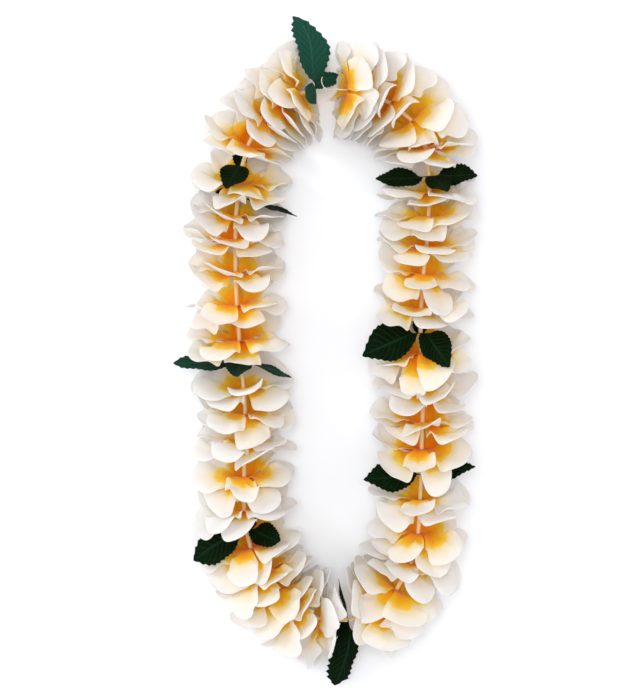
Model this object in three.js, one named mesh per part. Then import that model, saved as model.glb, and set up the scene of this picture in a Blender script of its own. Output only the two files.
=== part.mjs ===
// An artificial flower lei laid out on a table: moulded fabric plumeria blooms and serrated
// fabric leaves, threaded through their centres on one closed string, with short plastic
// tubes between them. Millimetres, +Z up, the table at z = 0, the top of the loop at +Y.
import * as THREE from "three";

// The string's loop: points chosen by hand on its centre line, from the bottom of the loop
// up its left side, over the top and down its right side.
const STRING_ROUTE = [
  [14, -205], [-9, -203.5], [-31.5, -192], [-49, -172], [-60.5, -146], [-64.2, -117],
  [-64.2, -79], [-64, -41], [-67.5, 0], [-70, 38], [-71, 80], [-69, 118],
  [-62.5, 152], [-47.5, 179.5], [-24.5, 195], [1.5, 199.5], [28.5, 196], [54, 184],
  [71.5, 160.5], [77, 126], [75.5, 88], [72, 50], [70.5, 12], [72.5, -26],
  [71.5, -64], [70.5, -102], [68.5, -136], [62, -163], [51, -182.5], [34.5, -197.5],
];
// The middle of the whole lei's outline, in the route's own numbers.
const OUTLINE_MIDDLE = [-1.04, -0.87];
const STRING_HEIGHT = 22;
const STRING_RADIUS = 0.5;
const STRING_SIDES = 5;

// Spacer tubes on the string, and the knot that closes it at the top of the loop.
const TUBE_RADIUS = 1.6;
const TUBE_CLEARANCE = 0.3;
const TUBE_BEND_STEP = 16;
const TUBE_STRAIGHT_TURN = 0.12;
const KNOT_RADIUS = 1.9;
const KNOT_LENGTH = 4;
const KNOT_TAPER = 1;
const KNOT_PLACE = 485;

// A bloom: two five-petalled layers of fabric on one moulded hub.
const FABRIC = 0.7;
const PETALS = 5;
const PETAL_LENGTH = 42;
const BLOOM_HOLE = 1.5;
const BLOOM_NOTCH = 5.5;
const LAYER_SPACING = 3.2;
const BEND_START = 3;
const BEND_END = 13;
const FACE_CUP = 16;
const BACK_CUP = 9;
// Each petal's own twist about its length and curl towards its tip, at most, in degrees.
const PETAL_ROLL = 13;
const PETAL_CURL = 20;
// The share of the bloom's lean that its face petals and its back petals take: least, spread.
const FACE_HOLD = [0.75, 0.25];
const BACK_HOLD = [1, 0.12];
// How far the side that leans back is turned from straight up, at most, in degrees.
const LEAN_TURN = 26;
// Half of a petal's outline: distance from the hub's centre, then half width there.
const PETAL_OUTLINE = [[16, 10.5], [29, 15.5], [38.5, 10]];

// How far the petals on the side away from the table lean back, in degrees.
const UPRIGHT = 28;
const TUCKED = 36;
const USUAL = 46;
const OPEN = 60;
// How far the petals next to the table reach forward, in degrees.
const TABLE_LEAN = 54;

// Blooms on each side: place along the string from the bottom of the loop, the lean, the
// number of the bloom's own draws, and the lean at the table where it isn't TABLE_LEAN.
const LEFT_BLOOMS = [
  [19.4, 26, 76, 8], [41, 44, 24, 22], [59, USUAL, 17, 32], [76, USUAL, 24, 40],
  [98, OPEN, 36], [127, UPRIGHT, 6], [153, OPEN, 15], [178, UPRIGHT, 8], [201, USUAL, 58],
  [220, UPRIGHT, 66], [257, USUAL, 86], [284, USUAL, 12], [309, UPRIGHT, 13],
  [333.8, TUCKED, 39], [352, TUCKED, 13], [377, USUAL, 10], [406, UPRIGHT, 17],
  [430, TUCKED, 42, 34], [448, TUCKED, 42, 24], [464.5, TUCKED, 28, 14],
];
const RIGHT_BLOOMS = [
  [22, USUAL, 41, 10], [44, OPEN, 113, 24], [66, TUCKED, 43, 36], [90, OPEN, 142],
  [116, TUCKED, 130], [154.5, OPEN, 141], [175, UPRIGHT, 145], [200, USUAL, 48],
  [228, OPEN, 173], [262, UPRIGHT, 50], [288, OPEN, 172], [309, UPRIGHT, 52],
  [332, USUAL, 194], [350, UPRIGHT, 188], [384, TUCKED, 55], [408, OPEN, 124],
  [429, TUCKED, 124, 32], [446.5, TUCKED, 124, 22], [463.8, USUAL, 127, 10],
];

// Leaves: one piece of fabric with a hole and two or three serrated lobes. Each lobe is
// [direction round the string from the inside of the loop, length, half width, roll, curl,
// and how far the whole lobe is tilted forward, if it is].
const LEAF_HOLE = 1.5;
const LEAF_NOTCH = 4.5;
const LEAF_CUP = 14;
const LEAF_TEETH = 5;
const LEAF_TOOTH = 1.3;
// A blade's half width follows a sine from LEAF_ROOT of its wave at the root to its end at
// the tip, and LEAF_BELLY below 1 moves the broadest place towards the root.
const LEAF_ROOT = 0.12;
const LEAF_BELLY = 0.8;
// A tooth's peak, as a share of its length.
const LEAF_PEAK = 0.75;
const LEAVES = [
  { name: "leaf_bottom", side: "left", place: -1, lean: 5, lobes: [
    [183, 52, 7, 45, 0, -4], [15, 34, 8, 10, 0], [232, 42, 6, 20, 0]] },
  { name: "leaf_left_lower", side: "left", place: 113, lean: 50, lobes: [
    [160, 48, 11, 45, -6, -10], [45, 38, 11, -30, 0, -8], [290, 36, 8, 0, 0]] },
  { name: "leaf_left_middle", side: "left", place: 242, lean: 40, lobes: [
    [172, 52, 10, 10, 0, -4], [20, 44, 10, 20, 0, -28], [95, 32, 12, 0, -10]] },
  { name: "leaf_left_inner", side: "left", place: 367.2, lean: 45, lobes: [
    [355, 48, 9.5, 20, 0, -34], [200, 34, 9, 0, 0]] },
  { name: "leaf_left_upper", side: "left", place: 391, lean: 58, lobes: [
    [105, 38, 14, 0, 0], [250, 36, 8, 0, 0]] },
  { name: "leaf_top", side: "left", place: 478, lean: 40, cup: 10, lobes: [
    [176, 60, 9, 32, -14, -3], [75, 30, 9, 0, 0], [232, 30, 7, 10, 0]] },
  { name: "leaf_right_upper", side: "right", place: 364, lean: 45, lobes: [
    [20, 44, 10, -30, 0, 0], [110, 38, 11, 10, 0], [165, 38, 9, 30, 0, -6]] },
  { name: "leaf_right_middle", side: "right", place: 244, lean: 50, lobes: [
    [28, 54, 13, -48, 0, -8], [122, 46, 15, 20, 0, -15], [270, 30, 8, 0, 0]] },
  { name: "leaf_right_lower", side: "right", place: 136, lean: 48, lobes: [
    [22, 48, 11, -48, 0, -2], [160, 44, 8, 20, 0, 16], [325, 36, 8, 0, 0, -15]] },
];

// The table presses the fabric flat: what would reach below this height is squeezed above it.
const SETTLE_HEIGHT = 6;
const SETTLE_DEPTH = 6;
const SETTLE_SLOPE = 0.04;

const BEND_STEPS = 14;
const ARC_DIVISIONS = 3000;
const PROBE = 0.2;

// Which of a bloom's draws sets what. Those of single petals take the next numbers too.
const TURN_DRAW = 1;
const LEAN_TURN_DRAW = 2;
const ROLL_DRAW = 10;
const CURL_DRAW = 30;
const HOLD_DRAW = 50;

const radians = THREE.MathUtils.degToRad;

// A repeatable draw between 0 and 1 for one bloom and one use.
function draw(seed, use) {
  const wave = Math.sin(seed * 12.9898 + use * 78.233) * 43758.5453;
  return wave - Math.floor(wave);
}

// The string's centre line by arc length, with the level direction to the inside of the loop.
class Strand {
  constructor(route) {
    const [middleX, middleY] = OUTLINE_MIDDLE;
    const points = route.map(([x, y]) => new THREE.Vector3(x - middleX, y - middleY, 0));
    this.curve = new THREE.CatmullRomCurve3(points, true, "catmullrom", 0.5);
    this.curve.arcLengthDivisions = ARC_DIVISIONS;
    this.length = this.curve.getLength();
  }

  // The frame at a distance along the string: its centre, its direction and the inward side.
  frame(distance) {
    const share = THREE.MathUtils.euclideanModulo(distance / this.length, 1);
    const centre = this.curve.getPointAt(share);
    const along = this.curve.getTangentAt(share);
    const inward = new THREE.Vector3(along.y, -along.x, 0).normalize();
    return { centre, along, inward };
  }

  // The point at a distance along the string, so far to the inside and so high.
  point(distance, inwards, height) {
    const { centre, inward } = this.frame(distance);
    return centre.addScaledVector(inward, inwards).setZ(height);
  }
}

// Height after the table has pressed on the fabric: it falls ever less below SETTLE_HEIGHT.
function settled(height) {
  const depth = SETTLE_HEIGHT - height;
  if (depth <= 0) return height;
  if (depth < 2 * SETTLE_DEPTH) return height + (depth * depth) / (4 * SETTLE_DEPTH);
  return SETTLE_HEIGHT - SETTLE_DEPTH - SETTLE_SLOPE * (depth - 2 * SETTLE_DEPTH);
}

// Where a fabric layer's flat point (a along a lobe, b across it) lies once the lobes bend.
function fabricPoint(strand, layer, lobe, a, b) {
  const across = b * Math.cos(lobe.roll);
  const radius = Math.hypot(a, across);
  const turn = lobe.angle + Math.atan2(across, a);
  const up = Math.sin(turn);
  const back = Math.sin(turn - layer.leanTurn);
  const lean = -back * (back > 0 ? layer.lean * lobe.hold : layer.tableLean);
  let out = 0;
  let forward = layer.offset;
  for (let step = 0; step < BEND_STEPS; step++) {
    const reach = (radius * (step + 0.5)) / BEND_STEPS;
    const ramp = THREE.MathUtils.smoothstep(reach, BEND_START, BEND_END);
    const bend = ramp * (layer.cup + lean + lobe.tilt) + lobe.curl * (reach / PETAL_LENGTH) ** 3;
    out += (Math.cos(bend) * radius) / BEND_STEPS;
    forward += (Math.sin(bend) * radius) / BEND_STEPS;
  }
  forward += b * Math.sin(lobe.roll) * THREE.MathUtils.smoothstep(a, BEND_START, BEND_END);
  const height = settled(STRING_HEIGHT + out * up);
  return strand.point(layer.place + layer.facing * forward, out * Math.cos(turn), height);
}

// A point of one face of the fabric, half a thickness off its middle, never below the table.
function facePoint(strand, layer, lobe, a, b, offset) {
  const middle = fabricPoint(strand, layer, lobe, a, b);
  const alongLobe = fabricPoint(strand, layer, lobe, a + PROBE, b).sub(middle);
  const acrossLobe = fabricPoint(strand, layer, lobe, a, b + PROBE).sub(middle);
  const normal = acrossLobe.cross(alongLobe).normalize().multiplyScalar(layer.facing);
  const point = middle.addScaledVector(normal, offset);
  return point.setZ(Math.max(point.z, 0));
}

// A layer's flat shape: points as [lobe, a, b], core and lobe triangles, and its two rings.
function flatLayer(layer) {
  const points = [];
  const core = [];
  const petals = [];
  const hole = [];
  const waist = [];
  const add = (lobe, a, b) => points.push({ lobe, a, b }) - 1;
  const polar = (lobe, radius, turn) =>
    add(lobe, radius * Math.cos(turn - lobe.angle), radius * Math.sin(turn - lobe.angle));
  const count = layer.lobes.length;
  const ends = layer.lobes.map((lobe, k) => {
    const next = layer.lobes[(k + 1) % count];
    const gap = THREE.MathUtils.euclideanModulo(next.angle - lobe.angle, 2 * Math.PI);
    const notch = lobe.angle + gap / 2;
    return { inner: polar(lobe, layer.hole, notch), outer: polar(lobe, layer.notch, notch) };
  });
  layer.lobes.forEach((lobe, k) => {
    const before = ends[(k + count - 1) % count];
    const after = ends[k];
    const inner = [before.inner];
    const outer = [before.outer];
    if (layer.roundCore) {
      inner.push(polar(lobe, layer.hole, lobe.angle));
      outer.push(polar(lobe, layer.notch, lobe.angle));
    }
    hole.push(...inner);
    waist.push(...outer);
    inner.push(after.inner);
    outer.push(after.outer);
    stitch(core, inner, outer);
    let row = outer;
    for (const [a, half] of lobe.outline) {
      const next = half > 0 ? [add(lobe, a, -half), add(lobe, a, half)] : [add(lobe, a, 0)];
      stitch(petals, row, next);
      row = next;
    }
  });
  return { points, core, petals, hole, waist };
}

// Triangles between two rows of points that run the same way.
function stitch(triangles, near, far) {
  let i = 0;
  let j = 0;
  while (i < near.length - 1 || j < far.length - 1) {
    const nearShare = (i + 1) / near.length;
    const farShare = (j + 1) / far.length;
    const stepNear = j === far.length - 1 || (i < near.length - 1 && nearShare < farShare);
    if (stepNear) triangles.push([near[i], near[i + 1], far[j]]);
    else triangles.push([near[i], far[j + 1], far[j]]);
    if (stepNear) i++;
    else j++;
  }
}

// The edges that only one triangle uses, in that triangle's direction.
function openEdges(triangles) {
  const edges = new Map();
  for (const triangle of triangles) {
    triangle.forEach((from, k) => {
      const to = triangle[(k + 1) % 3];
      if (!edges.delete(`${to},${from}`)) edges.set(`${from},${to}`, [from, to]);
    });
  }
  return [...edges.values()];
}

// Both faces of a flat layer in space, as one list of positions: face side, then back side.
function facesOf(strand, layer, flat, positions) {
  const first = positions.length;
  for (const offset of [FABRIC / 2, -FABRIC / 2]) {
    for (const { lobe, a, b } of flat.points) {
      positions.push(facePoint(strand, layer, lobe, a, b, offset));
    }
  }
  return { face: first, back: first + flat.points.length };
}

// The rim between the two faces along the given open edges.
function rim(triangles, edges, face, back) {
  for (const [from, to] of edges) {
    triangles.push([face + to, face + from, back + from], [face + to, back + from, back + to]);
  }
}

// A closed geometry from positions and triangles, turned so that its faces point out.
function closedGeometry(positions, triangles) {
  const volume = triangles.reduce((sum, [a, b, c]) => {
    const [p, q, r] = [positions[a], positions[b], positions[c]];
    return sum + p.dot(q.clone().cross(r));
  }, 0);
  const turned = volume > 0 ? triangles : triangles.map(([a, b, c]) => [a, c, b]);
  const geometry = new THREE.BufferGeometry().setFromPoints(positions);
  geometry.setIndex(turned.flat());
  geometry.computeVertexNormals();
  return geometry;
}

const shifted = (triangle, by) => triangle.map((index) => index + by);
const reversed = ([a, b, c], by) => [a + by, c + by, b + by];

// A bloom: its face layer and its back layer, turned by half a petal, on one thick hub.
function bloomGeometry(strand, bloom) {
  const positions = [];
  const triangles = [];
  const [front, rear] = [0, 1].map((index) => {
    const layer = bloomLayer(bloom, index);
    const flat = flatLayer(layer);
    return { flat, ...facesOf(strand, layer, flat, positions) };
  });
  for (const side of [front, rear]) {
    const { flat, face, back } = side;
    const all = [...flat.core, ...flat.petals];
    const faceSet = side === front ? all : flat.petals;
    const backSet = side === rear ? all : flat.petals;
    triangles.push(...faceSet.map((triangle) => shifted(triangle, face)));
    triangles.push(...backSet.map((triangle) => reversed(triangle, back)));
    const holeSet = new Set(flat.hole);
    const outer = openEdges(all).filter(([from]) => !holeSet.has(from));
    rim(triangles, outer, face, back);
  }
  ringWall(triangles, front.flat.hole, front.face, rear.flat.hole, rear.back, false);
  ringWall(triangles, front.flat.waist, front.back, rear.flat.waist, rear.face, true);
  return closedGeometry(positions, triangles);
}

// The wall between a ring of the front layer and the ring of the rear layer behind it.
function ringWall(triangles, front, frontBase, rear, rearBase, outward) {
  front.forEach((_, k) => {
    const next = (k + 1) % front.length;
    const a = frontBase + front[k];
    const b = frontBase + front[next];
    const c = rearBase + rear[k];
    const d = rearBase + rear[next];
    const wall = [[a, c, b], [b, c, d]];
    triangles.push(...(outward ? wall.map(([p, q, r]) => [p, r, q]) : wall));
  });
}

// One of a bloom's two layers, with each petal's own small roll and curl.
function bloomLayer(bloom, index) {
  const behind = index === 1;
  const [least, spread] = behind ? BACK_HOLD : FACE_HOLD;
  const lobes = Array.from({ length: PETALS }, (_, k) => {
    const own = (use) => draw(bloom.seed, use + index * PETALS + k);
    return {
      angle: bloom.turn + ((k + index / 2) * 2 * Math.PI) / PETALS,
      roll: radians(PETAL_ROLL * (2 * own(ROLL_DRAW) - 1)),
      curl: radians(PETAL_CURL * (2 * own(CURL_DRAW) - 1)),
      hold: least + spread * own(HOLD_DRAW),
      tilt: 0,
      outline: [...PETAL_OUTLINE, [PETAL_LENGTH, 0]],
    };
  });
  return {
    place: bloom.place,
    facing: bloom.facing,
    lobes,
    cup: radians(behind ? BACK_CUP : FACE_CUP),
    lean: radians(bloom.lean),
    leanTurn: bloom.leanTurn,
    tableLean: radians(bloom.tableLean),
    offset: behind ? -LAYER_SPACING / 2 : LAYER_SPACING / 2,
    hole: BLOOM_HOLE,
    notch: BLOOM_NOTCH,
    roundCore: false,
  };
}

// A serrated outline: a broad blade to a point, with teeth that lean towards the tip.
function leafOutline(length, halfWidth) {
  const outline = [];
  const start = 2 * LEAF_NOTCH;
  for (let tooth = 0; tooth < LEAF_TEETH; tooth++) {
    for (const share of [0, LEAF_PEAK]) {
      const t = (tooth + share) / LEAF_TEETH;
      const wave = (LEAF_ROOT + (1 - LEAF_ROOT) * t) ** LEAF_BELLY;
      const half = halfWidth * Math.sin(Math.PI * wave);
      outline.push([start + t * (length - start), half + (share > 0 ? LEAF_TOOTH : 0)]);
    }
  }
  outline.push([length, 0]);
  return outline;
}

// A leaf piece: one layer of fabric with its serrated lobes round a small disc.
function leafGeometry(strand, leaf) {
  const layer = {
    place: leaf.facing > 0 ? leaf.place : strand.length - leaf.place,
    facing: leaf.facing,
    cup: radians(leaf.cup ?? LEAF_CUP),
    lean: radians(leaf.lean),
    leanTurn: 0,
    tableLean: radians(TABLE_LEAN),
    offset: 0,
    hole: LEAF_HOLE,
    notch: LEAF_NOTCH,
    roundCore: true,
    lobes: leaf.lobes.map(([angle, length, halfWidth, roll, curl, tilt = 0]) => ({
      angle: radians(angle),
      roll: radians(roll),
      curl: radians(curl),
      tilt: radians(tilt),
      hold: 1,
      outline: leafOutline(length, halfWidth),
    })),
  };
  layer.lobes.sort((one, other) => one.angle - other.angle);
  const flat = flatLayer(layer);
  const positions = [];
  const { face, back } = facesOf(strand, layer, flat, positions);
  const all = [...flat.core, ...flat.petals];
  const triangles = [
    ...all.map((triangle) => shifted(triangle, face)),
    ...all.map((triangle) => reversed(triangle, back)),
  ];
  rim(triangles, openEdges(all), face, back);
  return closedGeometry(positions, triangles);
}

// The string's radius along its way: thin through the blooms and leaves, a tube between
// them, bare at the knot. Each entry is [distance along the string, radius].
function stringProfile(strand, threaded) {
  const stops = [...threaded].sort((one, other) => one.place - other.place);
  const profile = [];
  stops.forEach((stop, k) => {
    const next = stops[(k + 1) % stops.length];
    const nextPlace = next.place + (k + 1 === stops.length ? strand.length : 0);
    const from = stop.place + stop.half + TUBE_CLEARANCE;
    const to = nextPlace - next.half - TUBE_CLEARANCE;
    const bare = from < KNOT_PLACE && KNOT_PLACE < to;
    const radius = bare ? STRING_RADIUS : TUBE_RADIUS;
    if (bare) {
      const [start, end] = [KNOT_PLACE - KNOT_LENGTH / 2, KNOT_PLACE + KNOT_LENGTH / 2];
      profile.push([from, radius], [start, radius], [start + KNOT_TAPER, KNOT_RADIUS]);
      profile.push([end - KNOT_TAPER, KNOT_RADIUS], [end, radius], [to, radius]);
      return;
    }
    profile.push([from, STRING_RADIUS], [from, radius]);
    const turn = strand.frame(from).along.angleTo(strand.frame(to).along);
    const bends = turn > TUBE_STRAIGHT_TURN ? Math.floor((to - from) / TUBE_BEND_STEP) : 0;
    for (let bend = 1; bend <= bends; bend++) {
      profile.push([from + ((to - from) * bend) / (bends + 1), radius]);
    }
    profile.push([to, radius], [to, STRING_RADIUS]);
  });
  return profile;
}

// The string with its spacer tubes and knot, as one closed loop of rings.
function stringGeometry(strand, threaded) {
  const profile = stringProfile(strand, threaded);
  const positions = [];
  for (const [distance, radius] of profile) {
    const { centre, inward } = strand.frame(distance);
    for (let side = 0; side < STRING_SIDES; side++) {
      const turn = (side * 2 * Math.PI) / STRING_SIDES;
      const point = centre.clone().addScaledVector(inward, radius * Math.cos(turn));
      positions.push(point.setZ(STRING_HEIGHT + radius * Math.sin(turn)));
    }
  }
  const triangles = [];
  profile.forEach((_, ring) => {
    const here = ring * STRING_SIDES;
    const there = ((ring + 1) % profile.length) * STRING_SIDES;
    for (let side = 0; side < STRING_SIDES; side++) {
      const next = (side + 1) % STRING_SIDES;
      triangles.push([here + side, here + next, there + next]);
      triangles.push([here + side, there + next, there + side]);
    }
  });
  return closedGeometry(positions, triangles);
}

// The blooms of one side, numbered from the bottom of the loop to the knot.
function bloomsOf(side, places, strand) {
  const facing = side === "left" ? 1 : -1;
  return places.map(([place, lean, seed, tableLean = TABLE_LEAN], index) => {
    return {
      name: `bloom_${side}_${String(index + 1).padStart(2, "0")}`,
      place: facing > 0 ? place : strand.length - place,
      facing,
      lean,
      tableLean,
      seed,
      turn: ((2 * Math.PI) / PETALS) * draw(seed, TURN_DRAW),
      leanTurn: radians(LEAN_TURN * (2 * draw(seed, LEAN_TURN_DRAW) - 1)),
    };
  });
}

function material(color, roughness) {
  return new THREE.MeshStandardMaterial({ color, roughness, metalness: 0 });
}

const petalFabric = material(0xf6f0e8, 0.8);
const leafFabric = material(0x12301c, 0.7);
const clearPlastic = material(0xf2efe6, 0.4);

const strand = new Strand(STRING_ROUTE);
const blooms = [
  ...bloomsOf("left", LEFT_BLOOMS, strand),
  ...bloomsOf("right", RIGHT_BLOOMS, strand),
];
const leaves = LEAVES.map((leaf) => ({ ...leaf, facing: leaf.side === "left" ? 1 : -1 }));

const lei = new THREE.Group();
const place = (name, geometry, finish) => {
  const mesh = new THREE.Mesh(geometry, finish);
  mesh.name = name;
  lei.add(mesh);
};

for (const bloom of blooms) place(bloom.name, bloomGeometry(strand, bloom), petalFabric);
for (const leaf of leaves) place(leaf.name, leafGeometry(strand, leaf), leafFabric);

const threaded = [
  ...blooms.map((bloom) => ({ place: bloom.place, half: (LAYER_SPACING + FABRIC) / 2 })),
  ...leaves.map((leaf) => ({
    place: leaf.facing > 0 ? leaf.place : strand.length - leaf.place,
    half: FABRIC / 2,
  })),
];
place("string", stringGeometry(strand, threaded), clearPlastic);

export default lei;
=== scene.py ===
"""Dresses an artificial flower lei: moulded fabric plumeria blooms and serrated fabric leaves
threaded on one closed string with milky spacer tubes, laid flat on a pale table.

Sizes are in millimetres until a mesh is made, and a mesh is in metres.
"""

import sys
import logging
import math
from dataclasses import dataclass, field
from enum import Enum
from functools import partial
from typing import Any, Callable, Sequence

import bmesh
import bpy
import numpy as np
from bpy.types import ID, Material, Mesh, Node, NodeSocket, NodeTree, Object
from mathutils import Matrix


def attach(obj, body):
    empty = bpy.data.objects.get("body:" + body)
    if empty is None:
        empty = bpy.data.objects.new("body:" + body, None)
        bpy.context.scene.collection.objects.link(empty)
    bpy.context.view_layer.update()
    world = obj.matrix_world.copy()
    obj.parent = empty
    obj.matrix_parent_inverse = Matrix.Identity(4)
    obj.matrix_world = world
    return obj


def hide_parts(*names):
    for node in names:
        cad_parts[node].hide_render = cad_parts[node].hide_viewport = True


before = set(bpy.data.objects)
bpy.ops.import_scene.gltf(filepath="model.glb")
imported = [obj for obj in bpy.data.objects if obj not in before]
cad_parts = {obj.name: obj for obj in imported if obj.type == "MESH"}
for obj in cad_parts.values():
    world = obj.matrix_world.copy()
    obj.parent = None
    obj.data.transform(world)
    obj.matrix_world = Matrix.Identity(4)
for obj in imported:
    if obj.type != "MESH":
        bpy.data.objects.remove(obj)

log = logging.getLogger("lei")

MM = 0.001
MERGE_MM = 0.01
FABRIC_SMOOTH_ANGLE = 50.0
TINY = 1e-6
BODY = "root"
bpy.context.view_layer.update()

Array = np.ndarray
Inputs = dict[Any, Any]
Outline = Callable[[Array], Array]


def linear(hex_colour: str) -> tuple[float, float, float, float]:
    """Turns an sRGB hex colour into the linear colour that a shader takes.

    Args:
        hex_colour: Six hex digits after a hash sign.

    Returns:
        Red, green, blue and an alpha of 1.
    """
    parts = [int(hex_colour[i:i + 2], 16) / 255 for i in (1, 3, 5)]
    low, high = 0.04045, 2.4
    turned = [p / 12.92 if p <= low else ((p + 0.055) / 1.055) ** high for p in parts]
    return (*turned, 1.0)


def add_node(tree: NodeTree, kind: str, inputs: Inputs | None = None, **settings: Any) -> Node:
    """Adds one node, sets its properties, and sets or links its inputs.

    Args:
        tree: The node tree that gets the node.
        kind: The node's type name.
        inputs: For each input's name or number, a value, the socket that feeds it, or a node
            that feeds it with the first of its outputs in use.
        **settings: The node's own properties.

    Returns:
        The new node.
    """
    node = tree.nodes.new(kind)
    for name, value in settings.items():
        setattr(node, name, value)
    for name, value in (inputs or {}).items():
        socket = node.inputs[name]
        if isinstance(value, Node):
            value = next(output for output in value.outputs if output.enabled)
        if isinstance(value, NodeSocket):
            tree.links.new(value, socket)
        else:
            socket.default_value = value
    return node


def placed(name: str, data: ID) -> Object:
    """Puts an object with this data into the scene, at the origin."""
    made = bpy.data.objects.new(name, data)
    bpy.context.scene.collection.objects.link(made)
    return made


def write_attribute(mesh: Mesh, name: str, values: Array) -> None:
    """Writes a number, or a vector, for each point of a mesh.

    Args:
        mesh: The mesh.
        name: The attribute's name.
        values: One row for each point.
    """
    kind, key = ("FLOAT", "value") if values.ndim == 1 else ("FLOAT_VECTOR", "vector")
    made = mesh.attributes.new(name, kind, "POINT")
    made.data.foreach_set(key, values.astype("f4").ravel())


def draw(seed: float, use: float) -> float:
    """A repeatable draw between 0 and 1 for one piece and one use of it.

    Args:
        seed: The piece's own number.
        use: The number of the thing that is drawn.

    Returns:
        The draw.
    """
    wave = math.sin(seed * 12.9898 + use * 78.233) * 43758.5453
    return wave - math.floor(wave)


class Draw(Enum):
    """What a petal draws for itself: the draw's number, and its least and greatest value.

    Lean turn, roll, curl and sway are in degrees, edge roll, skew, tip curl and frill are in
    millimetres, the phase is in radians, and the others are shares and counts.
    """

    TURN = (1, 0.0, 1.0)
    LEAN_TURN = (2, -26.0, 26.0)
    ROLL = (10, -13.0, 13.0)
    CURL = (30, -20.0, 20.0)
    FACE_HOLD = (50, 0.75, 1.0)
    BACK_HOLD = (50, 1.0, 1.12)
    LENGTH = (100, 0.92, 1.01)
    WIDTH = (110, 0.93, 1.01)
    EDGE_ROLL = (120, -6.5, 5.5)
    SKEW = (130, -6.5, 6.5)
    TIP_CURL = (140, -5.0, 2.5)
    FOLD = (150, 0.0, 1.0)
    FRILL = (160, 0.9, 3.9)
    FRILL_WAVES = (170, 1.6, 3.2)
    PHASE = (180, 0.0, 2 * math.pi)
    SWAY = (190, -12.0, 12.0)
    SPRAY = (500, 0.88, 1.1)

    def own(self, seed: float, petal: int = 0) -> float:
        """A petal's own value, by its bloom's seed and its number in the bloom."""
        use, low, high = self.value
        return low + (high - low) * draw(seed, use + petal)


def smoothstep(value: Array | float, low: float, high: float) -> Array:
    """Rises smoothly from 0 at low to 1 at high.

    Args:
        value: Where it is read.
        low: Where it leaves 0.
        high: Where it reaches 1.

    Returns:
        The share, of value's own shape.
    """
    share = np.clip((value - low) / (high - low), 0, 1)
    return share * share * (3 - 2 * share)


class Side(Enum):
    """The side of the loop, as the way that its blooms face along the string."""

    LEFT = 1
    RIGHT = -1

    def distance(self, place: Array | float) -> Array | float:
        """How far along the string a place on this side is, from the bottom of the loop."""
        return place if self is Side.LEFT else STRAND.length - place


class Paint(Enum):
    """How a bloom was airbrushed: how far the paint reaches, and how deep its orange is."""

    DEEP = (1.2, 1.0)
    FULL = (1.1, 0.7)
    YELLOW = (1.05, 0.15)
    FAINT = (0.85, 0.45)

    @property
    def spray(self) -> float:
        """The paint's reach, as a share of the usual one."""
        return self.value[0]

    @property
    def warmth(self) -> float:
        """0 for plain yellow, 1 for deep orange."""
        return self.value[1]


@dataclass(frozen=True)
class Strand:
    """The string's loop, from its bottom up the left side, over the top and down the right."""

    route: tuple[tuple[float, float], ...] = (
        (14, -205), (-9, -203.5), (-31.5, -192), (-49, -172), (-60.5, -146), (-64.2, -117),
        (-64.2, -79), (-64, -41), (-67.5, 0), (-70, 38), (-71, 80), (-69, 118),
        (-62.5, 152), (-47.5, 179.5), (-24.5, 195), (1.5, 199.5), (28.5, 196), (54, 184),
        (71.5, 160.5), (77, 126), (75.5, 88), (72, 50), (70.5, 12), (72.5, -26),
        (71.5, -64), (70.5, -102), (68.5, -136), (62, -163), (51, -182.5), (34.5, -197.5),
    )
    outline_middle: tuple[float, float] = (-1.04, -0.87)
    height: float = 22.0
    samples: int = 100
    squeeze_limits: tuple[float, float] = (0.25, 1.5)

    def __post_init__(self) -> None:
        """Works out the closed curve through the route and its length."""
        points = np.array(self.route) - np.array(self.outline_middle)
        share = (np.arange(self.samples) / self.samples)[None, :, None]
        before, start = np.roll(points, 1, 0)[:, None], points[:, None]
        end, after = np.roll(points, -1, 0)[:, None], np.roll(points, -2, 0)[:, None]
        out, into = 0.5 * (end - before), 0.5 * (after - start)
        line = (
            (2 * start - 2 * end + out + into) * share**3
            + (-3 * start + 3 * end - 2 * out - into) * share**2
            + out * share
            + start
        ).reshape(-1, 2)
        line = np.vstack([line, line[:1]])
        lengths = np.r_[0, np.cumsum(np.linalg.norm(np.diff(line, axis=0), axis=1))]
        ways = np.roll(line[:-1], -1, 0) - np.roll(line[:-1], 1, 0)
        ways = np.vstack([ways, ways[:1]])
        ways /= np.linalg.norm(ways, axis=1)[:, None]
        object.__setattr__(self, "lengths", lengths)
        object.__setattr__(self, "line", np.hstack([line, ways]).T)

    @property
    def length(self) -> float:
        """The loop's length."""
        return float(self.lengths[-1])

    def read(self, distance: Array) -> list[Array]:
        """The string's x, y and the x and y of its way at each distance along it."""
        share = np.mod(distance, self.length)
        return [np.interp(share, self.lengths, row) for row in self.line]

    def way(self, distance: Array) -> Array:
        """The level direction of the string at each distance along it."""
        _, _, along_x, along_y = self.read(distance)
        return np.stack([along_x, along_y, np.zeros_like(along_x)], -1)

    def squeeze(self, distance: Array, inwards: Array, step: float = 2.0) -> Array:
        """How much closer than on the string things lie beside it, on the inside of a bend.

        Args:
            distance: How far along the string.
            inwards: How far to the inside of the loop.
            step: The stretch that is measured.

        Returns:
            The length there of a millimetre on the string.
        """
        ends = [self.point(distance + half, inwards, 0.0) for half in (-step / 2, step / 2)]
        stretch = np.linalg.norm(ends[1] - ends[0], axis=-1) / step
        return np.clip(stretch, *self.squeeze_limits)

    def point(self, distance: Array, inwards: Array, height: Array) -> Array:
        """Points beside the string.

        Args:
            distance: How far along the string.
            inwards: How far to the inside of the loop.
            height: How high above the table.

        Returns:
            The points, three numbers each.
        """
        x, y, along_x, along_y = self.read(distance)
        return np.stack([x + inwards * along_y, y - inwards * along_x, height + 0 * x], -1)


STRAND = Strand()


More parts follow.
